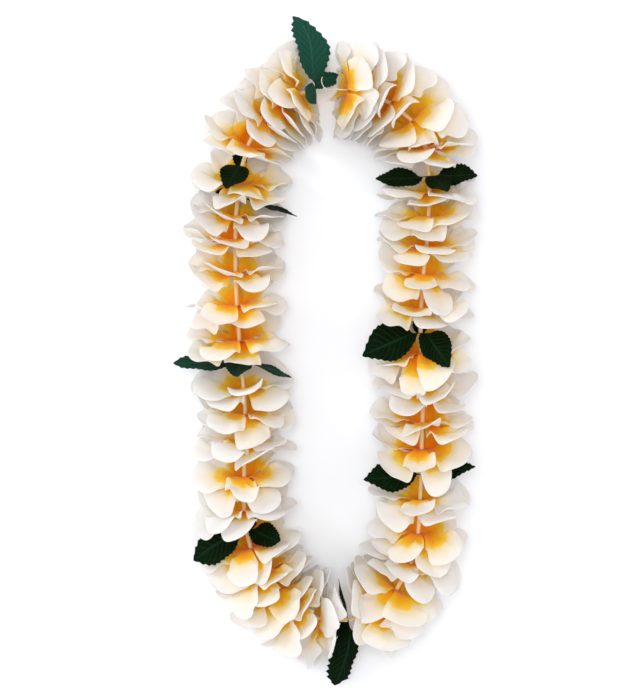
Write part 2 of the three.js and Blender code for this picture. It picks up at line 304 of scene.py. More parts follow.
@dataclass(frozen=True)
class Table:
    """The surface that the lei lies on, and how it presses the fabric flat."""

    settle_height: float = 6.0
    settle_depth: float = 6.0
    settle_slope: float = 0.04
    lowest: float = 0.2

    def settled(self, height: Array) -> Array:
        """Height after the table has pressed on the fabric: it falls ever less near the table.

        Args:
            height: Height with no table.

        Returns:
            Height above the table, never under its surface.
        """
        depth = self.settle_height - height
        pressed = height + depth**2 / (4 * self.settle_depth)
        flat = (
            self.settle_height - self.settle_depth
            - self.settle_slope * (depth - 2 * self.settle_depth)
        )
        bent = np.where(depth < 2 * self.settle_depth, pressed, flat)
        return np.maximum(np.where(depth <= 0, height, bent), self.lowest)


TABLE = Table()


@dataclass
class Lobe:
    """One petal or leaf lobe of a fabric layer, and the set it took in its mould.

    Its angles are in radians.
    """

    angle: float
    length: float
    roll: float
    curl: float
    half_angle: Outline
    hold: float = 1.0
    tilt: float = 0.0
    edge_roll: float = 0.0
    skew: float = 0.0
    tip_curl: float = 0.0
    fold: float = 0.0
    frill: float = 0.0
    frill_waves: float = 2.0
    phase: float = 0.0
    sway: float = 0.0


@dataclass(frozen=True)
class Relief:
    """How the mould spreads a lobe's rolls, folds and ripples over it.

    The powers keep them away from the core, where the layers are pressed together.
    """

    roll_power: float = 2.3
    skew_power: float = 2.6
    widest: float = 0.5
    tip_from: float = 0.5
    tip_power: float = 1.5
    valley_round: float = 0.006
    fold_power: float = 0.8
    rim_rises: tuple[float, float] = (0.15, 0.6)
    rim_power: int = 7
    pleats: float = 15.0
    pleat_height: float = 0.14
    pleat_fade: float = 0.7

    def height(self, lobe: Lobe, rise: Array, share: Array) -> Array:
        """How far the relief stands off the plain bent layer, towards its face.

        Args:
            lobe: The lobe with its own relief.
            rise: Place along the lobe, 0 at the hole and 1 at the tip.
            share: Place across it, from -1 on one edge to 1 on the other.

        Returns:
            The distance at each point.
        """
        across = share * lobe.half_angle(rise) / lobe.half_angle(np.array(self.widest))
        side_rim = np.abs(share) * smoothstep(rise, *self.rim_rises)
        rim = np.maximum(side_rim, rise**self.rim_power)
        round_edge = 1 + share * (1 - rise)
        ripples = np.sin(2 * math.pi * lobe.frill_waves * round_edge + lobe.phase)
        valley = 1 - np.sqrt(share**2 + self.valley_round)
        bed = np.sin(math.pi * np.clip(rise, 0, 1) ** self.fold_power)
        pleats = np.sin(self.pleats * share + 3 * lobe.phase) * rise * (1 - self.pleat_fade * rise)
        return (
            lobe.edge_roll * across**2 * rise**self.roll_power
            + lobe.skew * across * rise**self.skew_power
            + lobe.tip_curl * smoothstep(rise, self.tip_from, 1.0) ** self.tip_power
            - lobe.fold * valley * bed
            + lobe.frill * rim**2 * ripples
            + self.pleat_height * pleats
        )


RELIEF = Relief()


@dataclass
class Sheet:
    """One lobe's grid of points, beside the string until the piece is built."""

    radius: Array
    spots: Array
    flat: Array
    looks: dict[str, Array]


@dataclass
class Layer:
    """One die-cut layer of fabric on the string, with its lobes round a small core.

    Its angles are in degrees.
    """

    place: float
    cup: float
    lean: float
    lean_turn: float
    table_lean: float
    offset: float
    notch: float
    pressed: float = 0.25
    bend_start: float = 3.0
    bend_end: float = 13.0
    bend_reach: float = 42.0
    bend_steps: int = 18
    spread_from: float = 2.0
    spread_to: float = 12.0
    steepest: float = 0.5
    sheets: list[Sheet] = field(default_factory=list)

    def spots(self, lobe: Lobe, radius: Array, share: Array) -> Array:
        """Where points of the flat layer lie once it is moulded and threaded.

        Args:
            lobe: The lobe that the points are on.
            radius: Distance from the hole's centre along the fabric.
            share: Place across the lobe, from -1 on one edge to 1 on the other.

        Returns:
            For each point its place along this side, how far inside the loop, and its height.
        """
        free = smoothstep(radius, self.notch, 3 * self.notch)
        rise = radius / lobe.length
        angle = share * lobe.half_angle(rise) + free * lobe.sway * rise
        a, b = radius * np.cos(angle), radius * np.sin(angle)
        across = b * np.cos(lobe.roll * free)
        reach = np.hypot(a, across)
        turn = lobe.angle + np.arctan2(across, a)
        back = np.sin(turn - math.radians(self.lean_turn))
        held = np.where(back > 0, self.lean * lobe.hold, self.table_lean)
        lean = -back * np.radians(held)
        steps = (np.arange(self.bend_steps) + 0.5) / self.bend_steps
        along = reach[..., None] * steps
        bend = smoothstep(along, self.bend_start, self.bend_end)
        bend = bend * (math.radians(self.cup) + lean + lobe.tilt)[..., None]
        bend = bend + lobe.curl * (along / self.bend_reach) ** 3
        out = reach * np.cos(bend).mean(-1)
        forward = reach * np.sin(bend).mean(-1)
        parted = smoothstep(reach, self.spread_from, self.spread_to)
        spread = self.pressed + (1 - self.pressed) * parted
        forward += self.offset * spread + free * b * np.sin(lobe.roll)
        slope = np.maximum(np.cos(bend[..., -1]), self.steepest)
        forward += free * RELIEF.height(lobe, rise, share) / slope
        height = TABLE.settled(STRAND.height + out * np.sin(turn))
        return np.stack([self.place + forward, out * np.cos(turn), height], -1)

    def lay(self, lobe: Lobe, radii: Array, columns: int, warmth_and_sheen: float, spray: float = 1.0) -> None:
        """Lays out one lobe as a grid with its share of the layer's core.

        Args:
            lobe: The lobe.
            radii: Distances of its rows from the hole's centre.
            columns: How many points lie across it.
            warmth_and_sheen: How warm a petal's paint is, from 0 to 1; for a leaf lobe, its
            share of painted sheen, a lighter teal as if it caught the light.
            spray: How far its paint reaches, as a share of the usual.
        """
        radius, share = np.meshgrid(radii, np.linspace(-1, 1, columns), indexing="ij")
        turn = lobe.angle + share * lobe.half_angle(radius / lobe.length)
        flat = np.stack([radius * np.cos(turn), radius * np.sin(turn)], -1)
        looks = {
            "reach": radius / lobe.length, "across": share, "warmth_and_sheen": np.full_like(share, warmth_and_sheen),
            "spray": np.full_like(share, spray),
        }
        self.sheets.append(Sheet(radius, self.spots(lobe, radius, share), flat, looks))


@dataclass
class Nest:
    """Lets each fabric layer of one side rest on the layers behind it, so that none cross."""

    side: Side
    reach: float = 66.0
    top: float = 84.0
    cell: float = 0.5
    gap: float = 0.9
    slope: float = 1.3
    halo: int = 28
    blurs: int = 5
    softness: float = 2.0
    held: tuple[float, float] = (7.0, 14.0)
    empty: float = -1000.0
    filled: float = -500.0
    filled_round: float = -400.0
    far_behind: float = -30.0

    def __post_init__(self) -> None:
        """Starts with nothing behind the first layer."""
        columns, rows = int(2 * self.reach / self.cell), int(self.top / self.cell)
        self.behind = np.full((columns, rows), self.empty)

    def softened(self) -> Array:
        """Eases the surface of the layers behind down past their rims.

        Returns:
            How far forward they reach at each cell.
        """
        limit = self.behind.copy()
        drop = self.slope * self.cell
        for _ in range(self.halo):
            for axis in (0, 1):
                for step in (-1, 1):
                    limit = np.maximum(limit, np.roll(limit, step, axis) - drop)
        for _ in range(self.blurs):
            blurred = sum(np.roll(limit, step, axis) for axis in (0, 1) for step in (-1, 1)) / 4
            known = (limit > self.filled) & (blurred > self.filled_round)
            limit = np.where(known, blurred, limit)
        return limit

    def read(self, grid: Array, spots: Array) -> Array:
        """Reads a grid between its cells.

        Args:
            grid: One value for each cell.
            spots: Points beside the string.

        Returns:
            The value at each point.
        """
        u = np.clip((spots[..., 1] + self.reach) / self.cell - 0.5, 0, grid.shape[0] - 1.001)
        v = np.clip(spots[..., 2] / self.cell - 0.5, 0, grid.shape[1] - 1.001)
        i, j = u.astype(int), v.astype(int)
        p, q = u - i, v - j
        near = grid[i, j] * (1 - q) + grid[i, j + 1] * q
        far = grid[i + 1, j] * (1 - q) + grid[i + 1, j + 1] * q
        return near * (1 - p) + far * p

    def cover(self, spots: Array) -> None:
        """Marks a sheet's surface as lying behind whatever comes next.

        Args:
            spots: The sheet's grid of points.
        """
        fine = spots
        for axis in (0, 1):
            for _ in range(2):
                first = np.take(fine, range(fine.shape[axis] - 1), axis)
                second = np.take(fine, range(1, fine.shape[axis]), axis)
                middle = (first + second) / 2
                last = np.take(fine, [fine.shape[axis] - 1], axis)
                paired = np.stack([first, middle], axis + 1)
                shape = list(first.shape)
                shape[axis] *= 2
                fine = np.concatenate([paired.reshape(shape), last], axis)
        columns, rows = self.behind.shape
        i = np.clip(((fine[..., 1] + self.reach) / self.cell).astype(int), 0, columns - 1)
        j = np.clip((fine[..., 2] / self.cell).astype(int), 0, rows - 1)
        np.maximum.at(self.behind, (i.ravel(), j.ravel()), fine[..., 0].ravel())

    def rest(self, layer: Layer) -> None:
        """Pushes a layer forward where it would reach into what lies behind it.

        Args:
            layer: The next layer along this side.
        """
        limit = self.softened()
        for sheet in layer.sheets:
            spots = sheet.spots
            squeeze = STRAND.squeeze(self.side.distance(spots[..., 0]), spots[..., 1])
            over = self.read(limit, spots) + self.gap / squeeze - spots[..., 0]
            pushed = (over + np.sqrt(over**2 + self.softness**2)) / 2
            pushed = np.where(over < self.far_behind, 0, pushed)
            spots[..., 0] += pushed * smoothstep(sheet.radius, *self.held)
        for sheet in layer.sheets:
            self.cover(sheet.spots)


def fabric_object(
    name: str, side: Side, thickness: float, layers: Sequence[Layer],
    finishes: Sequence[Material],
) -> Object:
    """Turns the laid sheets of a piece's layers into one object of thin fabric.

    Args:
        name: The object's name.
        side: The side of the loop that it hangs on.
        thickness: The fabric's thickness.
        layers: The piece's layers, whose lobes are joined at their seams.
        finishes: The material of the face side, then that of the back.

    Returns:
        The finished object at the origin.
    """
    sheets = [sheet for layer in layers for sheet in layer.sheets]
    faces, count = [], 0
    for sheet in sheets:
        index = count + np.arange(sheet.radius.size).reshape(sheet.radius.shape)
        quads = np.stack([index[:-1, :-1], index[1:, :-1], index[1:, 1:], index[:-1, 1:]], -1)
        faces.append((quads[..., ::-1] if side is Side.LEFT else quads).reshape(-1, 4))
        count += sheet.radius.size
    spots = np.vstack([sheet.spots.reshape(-1, 3) for sheet in sheets])
    points = STRAND.point(side.distance(spots[:, 0]), spots[:, 1], spots[:, 2])
    mesh = bpy.data.meshes.new(name)
    mesh.from_pydata((points * MM).tolist(), [], np.vstack(faces).tolist())
    for look in sheets[0].looks:
        values = np.concatenate([sheet.looks[look].ravel() for sheet in sheets])
        write_attribute(mesh, look, values)
    corner = np.empty(len(mesh.loops), np.int32)
    mesh.loops.foreach_get("vertex_index", corner)
    flat = np.vstack([sheet.flat.reshape(-1, 2) for sheet in sheets]) * MM
    mesh.uv_layers.new(name="cloth").data.foreach_set("uv", flat[corner].ravel())
    shape = bmesh.new()
    shape.from_mesh(mesh)
    bmesh.ops.remove_doubles(shape, verts=shape.verts[:], dist=MERGE_MM * MM)
    shape.to_mesh(mesh)
    shape.free()
    for finish in finishes:
        mesh.materials.append(finish)
    thin = placed(name, mesh)
    solid = thin.modifiers.new("fabric thickness", "SOLIDIFY")
    solid.thickness, solid.offset = thickness * MM, 0
    solid.material_offset = len(finishes) - 1
    return flattened(thin, FABRIC_SMOOTH_ANGLE)


def flattened(piece: Object, smooth_angle: float) -> Object:
    """Turns an object's modifiers into plain mesh and shades it smooth up to an angle.

    Args:
        piece: The object with its live modifiers.
        smooth_angle: Edges sharper than this, in degrees, stay sharp.

    Returns:
        The same object with a plain mesh.
    """
    seen = piece.evaluated_get(bpy.context.evaluated_depsgraph_get())
    mesh = bpy.data.meshes.new_from_object(seen)
    old, piece.data = piece.data, mesh
    piece.modifiers.clear()
    bpy.data.meshes.remove(old)
    mesh.name = piece.name
    mesh.shade_smooth()
    mesh.set_sharp_from_angle(angle=math.radians(smooth_angle))
    return piece


def settle_piece(piece: Object, slot: str, *nodes: str) -> Object:
    """Rides a piece on the body, hides the nodes that it stands for, and reports it.

    Args:
        piece: The finished piece.
        slot: The record's material slot; it is not used.
        *nodes: The nodes that it replaces.

    Returns:
        The piece.
    """
    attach(piece, BODY)
    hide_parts(*nodes)
    log.info("%s: %d faces", piece.name, len(piece.data.polygons))
    return piece


@dataclass(frozen=True, kw_only=True)
class Finish:
    """A surface of its own colour and relief, with some light passing through it."""

    name: str
    roughness: float
    through: float = 0.0

    def look(self, tree: NodeTree) -> tuple[Inputs, Inputs]:
        """Adds the nodes for the colour and the relief; each kind of finish has its own."""
        raise NotImplementedError

    def material(self) -> Material:
        """Makes the material.

        Returns:
            The material, which mixes the surface with the light that comes through it.
        """
        made = bpy.data.materials.new(self.name)
        made.use_nodes = True
        tree = made.node_tree
        tree.nodes.clear()
        front, behind = self.look(tree)
        front["Roughness"] = self.roughness
        surface = add_node(tree, "ShaderNodeBsdfPrincipled", front)
        if self.through:
            glow = add_node(tree, "ShaderNodeBsdfTranslucent", behind)
            surface = add_node(tree, "ShaderNodeMixShader", {0: self.through, 1: surface, 2: glow})
        add_node(tree, "ShaderNodeOutputMaterial", {"Surface": surface})
        return made


@dataclass(frozen=True, kw_only=True)
class PetalFabric(Finish):
    """White polyester taffeta, heat-moulded and airbrushed from the centre.

    It gives the eye a soft matt white that glows where light comes through, with paint that
    fades from deep orange through yellow, and fainter paint on the back.
    """

    paint_strength: float
    roughness: float = 0.75
    through: float = 0.52
    white: str = "#F5F3F1"
    tint: str = "#FAF5EA"
    cream: str = "#FCF0CC"
    yellow: str = "#FFDF48"
    amber: str = "#FFC224"
    orange: str = "#FFA412"
    deep: str = "#FF8410"
    gold: str = "#FFD226"
    weave_mm: float = 0.5
    weave_per_scale: float = 20.0

    def look(self, tree: NodeTree) -> tuple[Inputs, Inputs]:
        """Adds the paint, the weave and the soft unevenness of moulded cloth.

        The weave is twice as coarse as a real one, so that it shows.

        Args:
            tree: The material's tree.

        Returns:
            The inputs of the surface's shader, then of the shader for light from behind.
        """
        add = partial(add_node, tree)
        cloth = add("ShaderNodeUVMap", uv_map="cloth")
        scale = 1 / (self.weave_mm * MM) / self.weave_per_scale
        over, under = (
            add(
                "ShaderNodeTexWave", {"Vector": cloth, "Scale": scale}, bands_direction=way
            ).outputs["Fac"]
            for way in ("X", "Y")
        )
        threads = add("ShaderNodeMath", {0: over, 1: under}, operation="MULTIPLY")
        soft = add("ShaderNodeTexNoise", {"Vector": cloth, "Scale": 420.0, "Detail": 2.0})
        bump = add("ShaderNodeBump", {"Height": threads, "Strength": 0.12, "Distance": 0.0001})
        bump = add(
            "ShaderNodeBump",
            {"Height": soft, "Normal": bump, "Strength": 0.25, "Distance": 0.0006},
        )
        painted = self.paint(tree, cloth)
        front = {
            "Base Color": painted, "IOR": 1.46, "Specular IOR Level": 0.25, "Sheen Weight": 0.2,
            "Sheen Roughness": 0.4, "Normal": bump,
        }
        return front, {"Color": painted, "Normal": bump}

    def paint(self, tree: NodeTree, cloth: Node) -> Node:
        """The airbrushed colour, from the hub outwards.

        Args:
            tree: The material's tree.
            cloth: The node that gives the flat layer's coordinates in metres.

        Returns:
            The node that gives the colour at each point.
        """
        add = partial(add_node, tree)
        reach, across, warmth_and_sheen, spray = (
            add("ShaderNodeAttribute", attribute_name=name).outputs["Fac"]
            for name in ("reach", "across", "warmth_and_sheen", "spray")
        )
        cloud = add("ShaderNodeTexNoise", {"Vector": cloth, "Scale": 130.0, "Detail": 3.0})
        spread = add("ShaderNodeMath", {0: cloud, 1: 0.2, 2: -0.1}, operation="MULTIPLY_ADD")
        side = add("ShaderNodeMath", {0: across, 1: 2.0}, operation="POWER")
        narrow = add("ShaderNodeMath", {0: side, 1: 0.06, 2: spread}, operation="MULTIPLY_ADD")
        scaled = add("ShaderNodeMath", {0: reach, 1: spray}, operation="DIVIDE")
        where = add("ShaderNodeMath", {0: scaled, 1: narrow}, operation="ADD")
        warm = self.ramp(tree, where, (
            (0.08, self.deep), (0.2, self.orange), (0.34, self.amber), (0.46, self.yellow),
            (0.53, self.cream), (0.62, self.tint), (0.85, self.white),
        ))
        sunny = self.ramp(tree, where, (
            (0.08, self.orange), (0.2, self.amber), (0.32, self.gold), (0.46, self.yellow),
            (0.56, self.cream), (0.7, self.tint), (0.95, self.white),
        ))
        full = add("ShaderNodeMix", {"Factor": warmth_and_sheen, "A": sunny, "B": warm}, data_type="RGBA")
        weaker = {"Factor": self.paint_strength, "A": linear(self.white), "B": full}
        return add("ShaderNodeMix", weaker, data_type="RGBA")

    def ramp(self, tree: NodeTree, where: Node, stops: Sequence[tuple[float, str]]) -> Node:
        """A colour ramp.

        Args:
            tree: The material's tree.
            where: The node that gives the place that is read.
            stops: Each place with its colour.

        Returns:
            The node that gives the colour there.
        """
        made = add_node(tree, "ShaderNodeValToRGB", {"Fac": where})
        band = made.color_ramp
        band.interpolation = "EASE"
        while len(band.elements) < len(stops):
            band.elements.new(0.5)
        for element, (place, colour) in zip(band.elements, stops):
            element.position, element.color = place, linear(colour)
        return made


@dataclass(frozen=True, kw_only=True)
class LeafFabric(Finish):
    """Dark green polyester satin, die-cut and pressed.

    It gives the eye an almost black green with a faint sheen and pressed veins. Some leaves
    get a painted sheen: a lighter bluish teal in their colour, as if they caught the light.
    """

    name: str = "leaf green polyester satin, pressed"
    roughness: float = 0.6
    dark: str = "#010900"
    mid: str = "#061B02"
    # The painted sheen's colour: a lighter teal, mixed in by each leaf's share, as if it caught
    # the light.
    painted_sheen: str = "#184438"
    vein: str = "#2C6246"
    fuzz: str = "#9CC48C"
    vein_waves: float = 66.0
    vein_slant: float = -0.28

    def look(self, tree: NodeTree) -> tuple[Inputs, Inputs]:
        """Adds the cloudy green, the painted sheen and the pressed veins, by the lobe's
        attributes.

        Args:
            tree: The material's tree.

        Returns:
            The inputs of the surface's shader, and none for light from behind.
        """
        add = partial(add_node, tree)
        reach, across, warmth_and_sheen = (
            add("ShaderNodeAttribute", attribute_name=name).outputs["Fac"]
            for name in ("reach", "across", "warmth_and_sheen")
        )
        width = add("ShaderNodeMath", {0: across}, operation="ABSOLUTE")
        slant = add(
            "ShaderNodeMath", {0: width, 1: self.vein_slant, 2: reach}, operation="MULTIPLY_ADD"
        )
        phase = add("ShaderNodeMath", {0: slant, 1: self.vein_waves}, operation="MULTIPLY")
        wave = add("ShaderNodeMath", {0: phase}, operation="SINE")
        side, rib = (
            add(
                "ShaderNodeMapRange", {"Value": value, "From Min": low, "From Max": high},
                interpolation_type="SMOOTHSTEP",
            )
            for value, low, high in ((wave, 0.86, 1.0), (width, 0.09, 0.02))
        )
        veins = add("ShaderNodeMath", {0: side, 1: rib}, operation="MAXIMUM")
        clear = add("ShaderNodeMath", {0: warmth_and_sheen, 1: 0.3, 2: 0.15}, operation="MULTIPLY_ADD")
        faint = add("ShaderNodeMath", {0: veins, 1: clear}, operation="MULTIPLY")
        cloth = add("ShaderNodeUVMap", uv_map="cloth")
        colour = linear(self.dark)
        cloud = add("ShaderNodeTexNoise", {"Vector": cloth, "Scale": 90.0, "Detail": 3.0})
        # The cloud, then the painted sheen, then the veins, which show more where the sheen is
        # painted.
        for share, shade in ((cloud, self.mid), (warmth_and_sheen, self.painted_sheen), (faint, self.vein)):
            mixed = {"Factor": share, "A": colour, "B": linear(shade)}
            colour = add("ShaderNodeMix", mixed, data_type="RGBA")
        bump = add("ShaderNodeBump", {"Height": veins, "Strength": 0.5, "Distance": 0.0004})
        return {
            "Base Color": colour, "IOR": 1.46, "Specular IOR Level": 0.06, "Sheen Weight": 0.03,
            "Sheen Roughness": 0.35, "Sheen Tint": linear(self.fuzz), "Normal": bump,
        }, {}


@dataclass(frozen=True, kw_only=True)
class PlainFinish(Finish):
    """A plain plastic or fibre finish with a little cloudiness, for the tubes and the thread."""

    colour: str
    shade: str
    grain_mm: float

    def look(self, tree: NodeTree) -> tuple[Inputs, Inputs]:
        """Adds the cloudiness, over the piece's own coordinates.

        Args:
            tree: The material's tree.

        Returns:
            The inputs of the surface's shader, then of the shader for light from behind.
        """
        add = partial(add_node, tree)
        spot = add("ShaderNodeTexCoord").outputs["Object"]
        grain = {"Vector": spot, "Scale": 1 / (self.grain_mm * MM), "Detail": 2.0}
        cloud = add("ShaderNodeTexNoise", grain)
        mixed = {"Factor": cloud, "A": linear(self.colour), "B": linear(self.shade)}
        colour = add("ShaderNodeMix", mixed, data_type="RGBA")
        bump = add("ShaderNodeBump", {"Height": cloud, "Strength": 0.2, "Distance": 0.0001})
        front = {"Base Color": colour, "IOR": 1.5, "Specular IOR Level": 0.5, "Normal": bump}
        return front, {"Color": colour}


@dataclass
class Bloom:
    """A plumeria bloom of two five-petalled layers, threaded back to back on the string."""

    side: Side
    number: int
    place: float
    lean: float
    seed: int
    paint: Paint
    table_lean: float
    petals: int = 5
    petal_length: float = 42.0
    notch: float = 5.5
    layer_spacing: float = 3.2
    fabric: float = 0.3
    core_half: float = 0.9
    face_cup: float = 16.0
    back_cup: float = 9.0
    deepest_fold: float = 4.0
    columns: int = 19
    core_radii: tuple[float, ...] = (1.3, 2.2, 3.3, 4.4, 5.5)
    middle_rows: tuple[float, ...] = (0.004, 0.17, 0.34, 0.5, 0.67, 0.84)
    tip_rows: int = 15
    tip_turns: tuple[float, float] = (14.0, 88.5)
    tip_power: int = 5
    tip_round: float = 0.6
    waist: float = 0.86
    belly: float = 0.11
    belly_rises: tuple[float, float] = (0.2, 0.6)
    free_from: float = 2.2

    @property
    def name(self) -> str:
        """The name of the node that the bloom stands for."""
        return f"bloom_{self.side.name.lower()}_{self.number:02d}"

    def half_angle(self, width: float) -> Outline:
        """Half of a petal's width as an angle at the hole, which gives its rounded outline.

        Args:
            width: The petal's own share of the usual width.

        Returns:
            A function that gives half of its angle for a place along the petal.
        """
        sector = math.pi / self.petals
        core = self.notch / self.petal_length

        def outline(rise: Array) -> Array:
            """Half of the petal's angle at a place along it.

            Args:
                rise: The place, 0 at the hole and 1 at the tip.

            Returns:
                The angle in radians, which is all of the petal's sector in the core.
            """
            blade = (1 - np.clip(rise, 0, 1) ** self.tip_power) ** self.tip_round
            belly = self.waist + self.belly * smoothstep(rise, *self.belly_rises)
            free = smoothstep(rise, core, self.free_from * core)
            narrow = 1 - free * (1 - width * belly)
            return sector * np.where(rise <= core + TINY, 1.0, narrow * blade)

        return outline

    def petal(self, index: int, petal: int) -> Lobe:
        """One petal with its own draws, the first of which the solid model takes too.

        Args:
            index: 0 for the face layer, 1 for the back layer.
            petal: Its number in the layer.

        Returns:
            The petal.
        """
        number = petal + index * self.petals

        def own(use: Draw) -> float:
            """This petal's own value."""
            return use.own(self.seed, number)

        turn = Draw.TURN.own(self.seed) + petal + index / 2
        return Lobe(
            angle=2 * math.pi / self.petals * turn,
            length=self.petal_length * own(Draw.LENGTH),
            roll=math.radians(own(Draw.ROLL)),
            curl=math.radians(own(Draw.CURL)),
            half_angle=self.half_angle(own(Draw.WIDTH)),
            hold=own(Draw.BACK_HOLD if index else Draw.FACE_HOLD),
            edge_roll=own(Draw.EDGE_ROLL),
            skew=own(Draw.SKEW),
            tip_curl=own(Draw.TIP_CURL),
            fold=self.deepest_fold * own(Draw.FOLD) ** 2,
            frill=own(Draw.FRILL),
            frill_waves=own(Draw.FRILL_WAVES),
            phase=own(Draw.PHASE),
            sway=math.radians(own(Draw.SWAY)),
        )

    def rows(self, length: float) -> Array:
        """Places a petal's rows, closer together at its round tip.

        Args:
            length: From the hole's centre to the tip.

        Returns:
            Each row's distance from the hole's centre.
        """
        turn = np.radians(np.linspace(*self.tip_turns, self.tip_rows))
        tip = length * (1 - np.cos(turn) ** (1 / self.tip_round)) ** (1 / self.tip_power)
        start = self.core_radii[-1]
        middle = start + (tip[0] - start) * np.array(self.middle_rows)
        return np.r_[self.core_radii, middle, tip]

    def layers(self) -> list[Layer]:
        """Lays out every petal.

        Returns:
            The back layer and then the face layer, in the order in which they are threaded.
        """
        made = []
        for index in (1, 0):
            layer = Layer(
                place=self.place, cup=self.back_cup if index else self.face_cup,
                lean=self.lean, lean_turn=Draw.LEAN_TURN.own(self.seed),
                table_lean=self.table_lean, notch=self.notch,
                offset=(-1 if index else 1) * self.layer_spacing / 2,
            )
            for petal in range(self.petals):
                lobe = self.petal(index, petal)
                spray = Draw.SPRAY.own(self.seed, petal + index * self.petals)
                layer.lay(
                    lobe, self.rows(lobe.length), self.columns, self.paint.warmth,
                    self.paint.spray * spray,
                )
            made.append(layer)
        return made


@dataclass
class LeafPiece:
    """A die-cut leaf piece with two or three serrated lobes round its hole."""

    name: str
    side: Side
    place: float
    lean: float
    shapes: tuple[tuple[float, ...], ...]
    cup: float = 14.0
    # Its share of painted sheen: a lighter teal in its colour, as if it caught the light.
    warmth_and_sheen: float = 0.0
    table_lean: float = 54.0
    notch: float = 4.5
    fabric: float = 0.35
    core_half: float = 0.4
    core_radii: tuple[float, ...] = (1.3, 2.2, 3.3, 4.5)
    neck_rows: tuple[float, ...] = (0.01, 0.35, 0.7)
    neck_width: float = 0.55
    widest_core: float = 0.9
    widest_root: float = 0.6
    blade_from: float = 0.12
    blade_power: float = 0.8
    narrowest: float = 0.02
    bare_tip: float = 0.12
    tip_gap: float = 0.25
    teeth: int = 11
    tooth: float = 1.1
    columns: int = 15
    edge_roll: float = 1.6
    fold: float = 0.9
    frill: float = 0.8
    frill_waves: float = 2.2

    def layers(self) -> list[Layer]:
        """Lays out every lobe, each as wide at the core as its neighbours leave it.

        Returns:
            The piece's one layer, in a list.
        """
        shapes = sorted(self.shapes)
        angles = [math.radians(shape[0]) for shape in shapes]
        layer = Layer(
            place=self.place, cup=self.cup, lean=self.lean, lean_turn=0.0,
            table_lean=self.table_lean, offset=0.0, notch=self.notch, pressed=1.0,
        )
        for index, (angle, shape) in enumerate(zip(angles, shapes)):
            _, length, half_width, roll, curl, *tilt = shape
            before = angles[index - 1] - (2 * math.pi if index == 0 else 0)
            after = angles[(index + 1) % len(angles)]
            after += 2 * math.pi if index + 1 == len(angles) else 0
            nearer = min(angle - before, after - angle) / 2
            lobe = Lobe(
                angle=angle, length=length, roll=math.radians(roll), curl=math.radians(curl),
                half_angle=self.outline(length, half_width, nearer),
                tilt=math.radians(tilt[0] if tilt else 0), edge_roll=self.edge_roll,
                fold=self.fold, frill=self.frill, frill_waves=self.frill_waves,
                phase=length + angle,
            )
            layer.lay(lobe, self.rows(length), self.columns, self.warmth_and_sheen)
        return [layer]

    def rows(self, length: float) -> Array:
        """Places a lobe's rows: the core's, the neck's and then two for each tooth.

        Args:
            length: From the hole's centre to the tip.

        Returns:
            Each row's distance from the hole's centre.
        """
        start = 2 * self.notch
        tooth = np.arange(2 * self.teeth) / (2 * self.teeth)
        blade = start + tooth * (length - start)
        neck = self.notch + (start - self.notch) * np.array(self.neck_rows)
        return np.r_[self.core_radii, neck, blade, length - self.tip_gap]

    def outline(self, length: float, half_width: float, gap: float) -> Outline:
        """The lobe's serrated outline as an angle at the hole.

        Args:
            length: From the hole's centre to the tip.
            half_width: Half of its greatest width.
            gap: Half of the angle to the nearer of its two neighbours.

        Returns:
            A function that gives half of its angle for a place along the lobe.
        """
        start = 2 * self.notch
        root = self.notch * math.sin(min(gap, self.widest_root))

        def half_angle(rise: Array) -> Array:
            """Half of the lobe's angle at a place along it.

            Args:
                rise: The place, 0 at the hole and 1 at the tip.

            Returns:
                The angle in radians.
            """
            radius = rise * length
            blade = np.clip((radius - start) / (length - start), 0, 1)
            swell = self.blade_from + (1 - self.blade_from) * blade
            half = half_width * np.sin(math.pi * swell**self.blade_power)
            saw = np.mod(np.round(blade * 2 * self.teeth), 2) * self.tooth
            half = np.maximum(half, self.narrowest) + saw * smoothstep(1 - blade, 0, self.bare_tip)
            neck = smoothstep(radius, self.notch, start)
            waist = root + neck * (half_width * self.neck_width - root)
            free = np.arctan2(np.where(radius < start, waist, half), np.maximum(radius, 1))
            return np.where(radius <= self.notch + TINY, min(gap, self.widest_core), free)

        return half_angle


